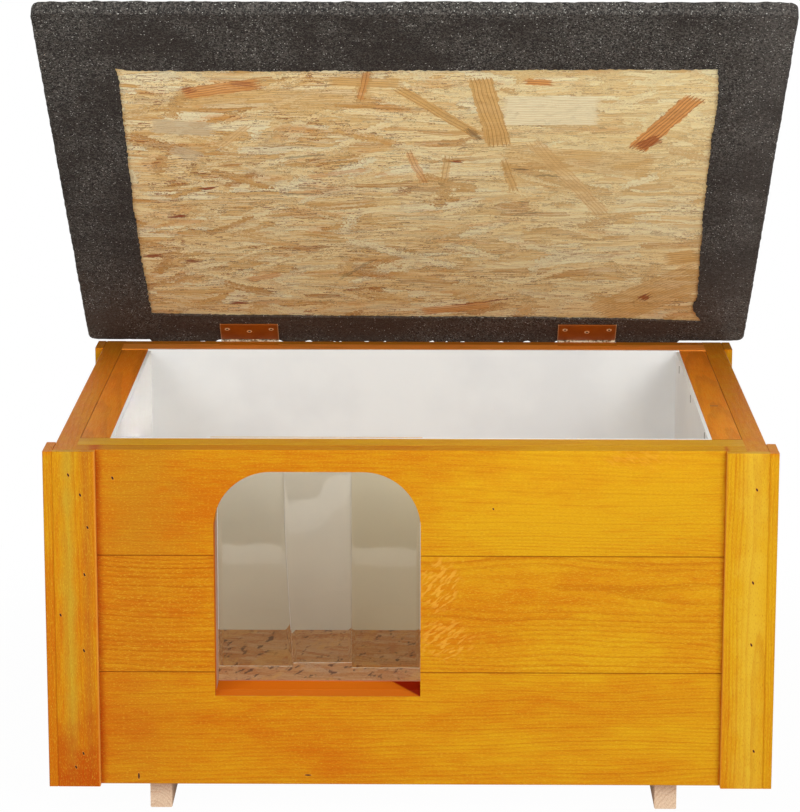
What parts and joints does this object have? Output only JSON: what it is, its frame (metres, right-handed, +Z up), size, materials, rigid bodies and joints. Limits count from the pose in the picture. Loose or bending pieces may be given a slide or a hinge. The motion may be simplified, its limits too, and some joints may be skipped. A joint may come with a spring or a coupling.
{
  "type": "outdoor cat house",
  "caption": "Insulated wooden cat house with a felt-wrapped lid on butt hinges, a white lined cavity and an arched doorway closed by hanging clear strips.",
  "frame": {"origin": "on the ground, under the middle of the overall box with the lid as stored (about 40 degrees open)", "axes": "+Z up, the doorway faces -Y, +X to the right as seen from the front, the lid's hinge line runs along X at the rear"},
  "size_m": [0.748, 0.5794, 0.8052],
  "materials": {
    "stained_pine": "satin",
    "raw_pine": "matte",
    "strand_board": "matte",
    "white_liner": "satin",
    "foam_panel": "matte",
    "clear_strip": "gloss",
    "roofing_felt": "matte",
    "stained_leaf": "satin",
    "zinc_steel": "satin"
  },
  "bodies": {
    "house": {"front_board_top": "stained_pine", "front_board_middle_left": "stained_pine", "front_board_middle_right": "stained_pine", "front_board_bottom": "stained_pine", "rear_board_top": "stained_pine", "rear_board_middle": "stained_pine", "rear_board_bottom": "stained_pine", "left_board_top": "stained_pine", "left_board_middle": "stained_pine", "left_board_bottom": "stained_pine", "right_board_top": "stained_pine", "right_board_middle": "stained_pine", "right_board_bottom": "stained_pine", "front_left_face_trim": "stained_pine", "front_left_side_trim": "stained_pine", "front_right_face_trim": "stained_pine", "front_right_side_trim": "stained_pine", "rear_left_face_trim": "stained_pine", "rear_left_side_trim": "stained_pine", "rear_right_face_trim": "stained_pine", "rear_right_side_trim": "stained_pine", "front_lintel_rail": "stained_pine", "rear_top_rail": "stained_pine", "left_top_rail": "stained_pine", "right_top_rail": "stained_pine", "front_left_post": "raw_pine", "front_right_post": "raw_pine", "rear_left_post": "raw_pine", "rear_right_post": "raw_pine", "doorway_left_jamb": "stained_pine", "doorway_right_jamb": "stained_pine", "doorway_sill_batten": "stained_pine", "front_liner": "white_liner", "rear_liner": "white_liner", "left_liner": "white_liner", "right_liner": "white_liner", "front_insulation": "foam_panel", "rear_insulation": "foam_panel", "left_insulation": "foam_panel", "right_insulation": "foam_panel", "floor_panel": "strand_board", "left_skid": "raw_pine", "right_skid": "raw_pine", "strip_left_head": "clear_strip", "strip_middle_head": "clear_strip", "strip_right_head": "clear_strip", "strip_clamp_batten": "raw_pine", "strip_clamp_screws": "zinc_steel", "left_hinge_body_leaf": "stained_leaf", "right_hinge_body_leaf": "stained_leaf", "hinge_pins": "zinc_steel", "body_hinge_screws": "zinc_steel"},
    "lid": {"lid_board": "strand_board", "lid_felt": "roofing_felt", "left_hinge_lid_leaf": "stained_leaf", "right_hinge_lid_leaf": "stained_leaf", "lid_hinge_screws": "zinc_steel"},
    "strip_left": {"strip_left_flap": "clear_strip"},
    "strip_middle": {"strip_middle_flap": "clear_strip"},
    "strip_right": {"strip_right_flap": "clear_strip"}
  },
  "joints": [
    {"name": "lid_hinge", "type": "hinge", "parent": "house", "child": "lid", "pos_m": [0, 0.27631, 0.37375], "axis": [-1, 0, 0], "range_deg": [-40.5, 64.5]},
    {"name": "strip_left_swing", "type": "hinge", "parent": "house", "child": "strip_left", "pos_m": [-0.1575, -0.22424, 0.296], "axis": [1, 0, 0], "range_deg": [-75, 75]},
    {"name": "strip_middle_swing", "type": "hinge", "parent": "house", "child": "strip_middle", "pos_m": [-0.09075, -0.22424, 0.296], "axis": [1, 0, 0], "range_deg": [-75, 75]},
    {"name": "strip_right_swing", "type": "hinge", "parent": "house", "child": "strip_right", "pos_m": [-0.02775, -0.22424, 0.296], "axis": [1, 0, 0], "range_deg": [-75, 75]}
  ]
}
